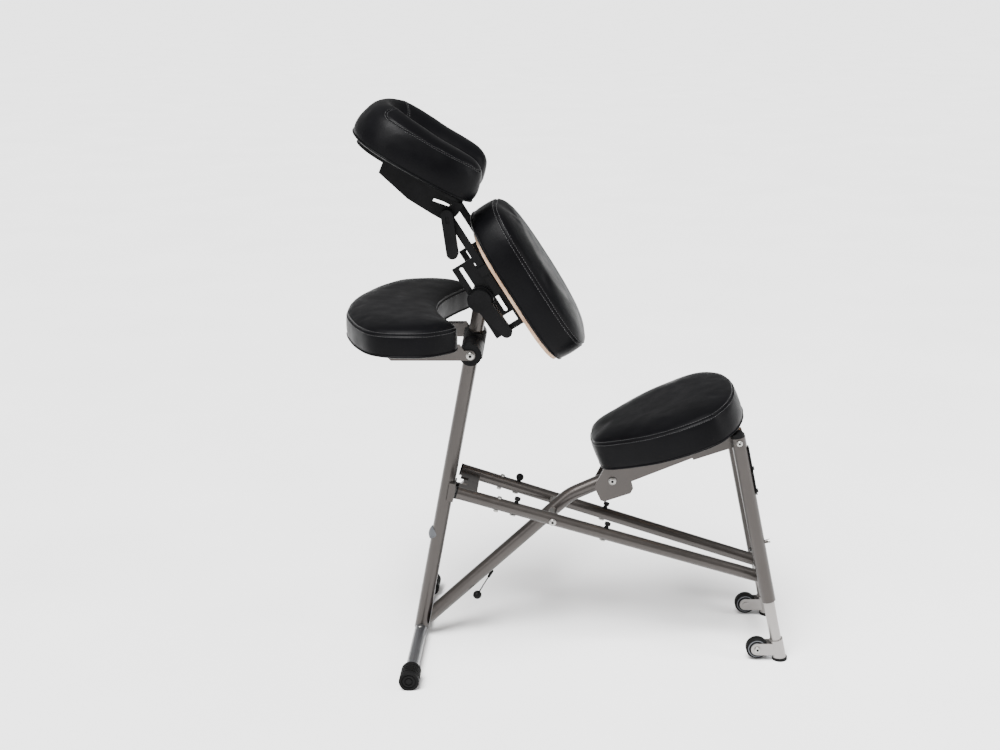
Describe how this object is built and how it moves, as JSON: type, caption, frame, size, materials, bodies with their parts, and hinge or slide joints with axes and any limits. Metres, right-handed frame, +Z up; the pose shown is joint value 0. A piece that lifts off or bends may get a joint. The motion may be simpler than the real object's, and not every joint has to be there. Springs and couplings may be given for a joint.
{
  "type": "kneeling massage chair",
  "caption": "Folding kneeling massage chair: tubular A-frame with saddle seat, chest pad, crescent armrest and face cradle, telescopic rear legs with transport wheels.",
  "frame": {"origin": "middle of the chair's footprint, on the floor", "axes": "+Z up; +X from the chest pad towards the seat, so a person on the chair faces -X; +Y to the right-hand side of a viewer who looks along +X"},
  "size_m": [0.976, 0.52, 1.2467],
  "materials": {
    "bronze_tube": "satin bronze-grey powder coat",
    "light_tube": "satin light grey coat",
    "silver_tube": "satin",
    "black_steel": "satin black coat",
    "black_plastic": "matt",
    "black_rubber": "matt",
    "grey_rubber": "matt",
    "zinc": "zinc plated",
    "black_vinyl": "soft semi-matt vinyl with a fine grain",
    "plywood": "sanded edge"
  },
  "bodies": {
    "rail_frame": {"side_rail_left": "bronze_tube", "side_rail_right": "bronze_tube", "rail_end_caps": "black_plastic", "front_cross_plate": "bronze_tube", "front_hinge_pin": "zinc", "rear_cross_tube": "bronze_tube", "kneeler_studs": "zinc", "stud_knobs": "black_plastic", "cross_pivot_bolt": "zinc"},
    "front_post": {"front_post": "bronze_tube", "post_bumper": "grey_rubber", "t_bar": "light_tube", "t_bar_caps": "black_rubber", "post_top_barrel": "black_steel", "front_hinge_block": "bronze_tube"},
    "seat_strut": {"seat_strut": "bronze_tube", "release_ferrule": "black_plastic"},
    "release": {"release_rod": "zinc", "release_knob": "black_plastic"},
    "rear_legs": {"rear_leg_left": "bronze_tube", "rear_leg_right": "bronze_tube", "leg_bushes": "black_plastic", "leg_top_bolts": "zinc", "leg_strips": "black_steel", "leg_top_plugs": "black_plastic"},
    "seat": {"seat_channel": "bronze_tube", "seat_arms": "bronze_tube", "seat_board": "plywood", "seat_pad": "black_vinyl", "seat_bolts": "zinc"},
    "armrest_slider": {"armrest_barrel": "black_plastic"},
    "armrest": {"armrest_arms": "bronze_tube", "armrest_board": "plywood", "armrest_pad": "black_vinyl", "armrest_bolts": "zinc"},
    "chest_hub": {"chest_clamp_bolt": "zinc", "clamp_washers": "black_steel"},
    "clamp_lever": {"clamp_lever": "black_plastic"},
    "chest": {"chest_plates": "black_steel", "chest_board": "plywood", "chest_pad": "black_vinyl", "chest_bolts": "zinc"},
    "cradle_slide": {"cradle_links": "black_steel", "cradle_rod": "zinc"},
    "cradle_lever": {"cradle_lever": "black_plastic"},
    "cradle": {"cradle_arms": "black_plastic", "cradle_platform": "black_plastic", "cradle_pad": "black_vinyl"},
    "leg_pin_left": {"leg_pin_left": "zinc"},
    "lower_leg_left": {"inner_leg_left": "silver_tube", "wheel_bracket_left": "silver_tube", "foot_pad_left": "black_rubber"},
    "wheel_left": {"wheel_hub_left": "black_plastic", "tyre_left": "black_rubber"},
    "leg_pin_right": {"leg_pin_right": "zinc"},
    "lower_leg_right": {"inner_leg_right": "silver_tube", "wheel_bracket_right": "silver_tube", "foot_pad_right": "black_rubber"},
    "wheel_right": {"wheel_hub_right": "black_plastic", "tyre_right": "black_rubber"}
  },
  "joints": [
    {"name": "strut_fold", "type": "hinge", "parent": "rail_frame", "child": "seat_strut", "pos_m": [-0.042, 0, 0.3195], "axis": [0, -1, 0], "range_deg": [0, 100]},
    {"name": "post_fold", "type": "hinge", "parent": "rail_frame", "child": "front_post", "pos_m": [-0.25208, 0, 0.36201], "axis": [0, -1, 0], "range_deg": [0, 55.5]},
    {"name": "leg_fold", "type": "hinge", "parent": "rail_frame", "child": "rear_legs", "pos_m": [0.4355, 0, 0.17], "axis": [0, -1, 0], "range_deg": [0, 37.5]},
    {"name": "seat_fold", "type": "hinge", "parent": "rear_legs", "child": "seat", "pos_m": [0.3623, 0, 0.523], "axis": [0, -1, 0], "range_deg": [-80.5, 0]},
    {"name": "release_pull", "type": "slide", "parent": "seat_strut", "child": "release", "axis": [-0.5092, 0, -0.8607], "range_m": [0, 0.012], "stiffness_N_per_m": 300, "springref_m": -0.01},
    {"name": "armrest_height", "type": "slide", "parent": "front_post", "child": "armrest_slider", "axis": [0.1947, 0, 0.9809], "range_m": [-0.14, 0.02]},
    {"name": "armrest_tilt", "type": "hinge", "parent": "armrest_slider", "child": "armrest", "pos_m": [-0.2155, 0, 0.711], "axis": [0, -1, 0], "range_deg": [-8, 50]},
    {"name": "chest_tilt", "type": "hinge", "parent": "front_post", "child": "chest_hub", "pos_m": [-0.191, 0, 0.834], "axis": [0, -1, 0], "range_deg": [-15, 10]},
    {"name": "chest_slide", "type": "slide", "parent": "chest_hub", "child": "chest", "axis": [0.524, 0, -0.8517], "range_m": [-0.075, 0.07]},
    {"name": "clamp_lever_turn", "type": "hinge", "parent": "chest_hub", "child": "clamp_lever", "pos_m": [-0.191, 0, 0.834], "axis": [0, -1, 0], "range_deg": [-50, 0]},
    {"name": "cradle_height", "type": "slide", "parent": "chest", "child": "cradle_slide", "axis": [-0.524, 0, 0.8517], "range_m": [0, 0.045]},
    {"name": "cradle_tilt", "type": "hinge", "parent": "cradle_slide", "child": "cradle", "pos_m": [-0.2565, 0, 1.015], "axis": [0, -1, 0], "range_deg": [-12, 30]},
    {"name": "cradle_lever_turn", "type": "hinge", "parent": "cradle_slide", "child": "cradle_lever", "pos_m": [-0.2565, 0, 1.015], "axis": [0, -1, 0], "range_deg": [-80, 0]},
    {"name": "leg_height_left", "type": "slide", "parent": "rear_legs", "child": "lower_leg_left", "axis": [0.2058, 0, -0.9786], "range_m": [-0.07, 0.07]},
    {"name": "leg_pin_pull_left", "type": "slide", "parent": "rear_legs", "child": "leg_pin_left", "axis": [0.9786, 0, 0.2058], "range_m": [0, 0.006], "stiffness_N_per_m": 500, "springref_m": -0.006},
    {"name": "wheel_spin_left", "type": "hinge", "parent": "lower_leg_left", "child": "wheel_left", "pos_m": [0.4195, -0.114, 0.029], "axis": [0, 1, 0], "continuous": true},
    {"name": "leg_height_right", "type": "slide", "parent": "rear_legs", "child": "lower_leg_right", "axis": [0.2058, 0, -0.9786], "range_m": [-0.07, 0.07]},
    {"name": "leg_pin_pull_right", "type": "slide", "parent": "rear_legs", "child": "leg_pin_right", "axis": [0.9786, 0, 0.2058], "range_m": [0, 0.006], "stiffness_N_per_m": 500, "springref_m": -0.006},
    {"name": "wheel_spin_right", "type": "hinge", "parent": "lower_leg_right", "child": "wheel_right", "pos_m": [0.4195, 0.114, 0.029], "axis": [0, 1, 0], "continuous": true}
  ],
  "couplings": [
    {"joint": "post_fold", "follows": "strut_fold", "ratio": 0.55},
    {"joint": "leg_fold", "follows": "strut_fold", "ratio": 0.37},
    {"joint": "seat_fold", "follows": "strut_fold", "ratio": -0.8}
  ]
}
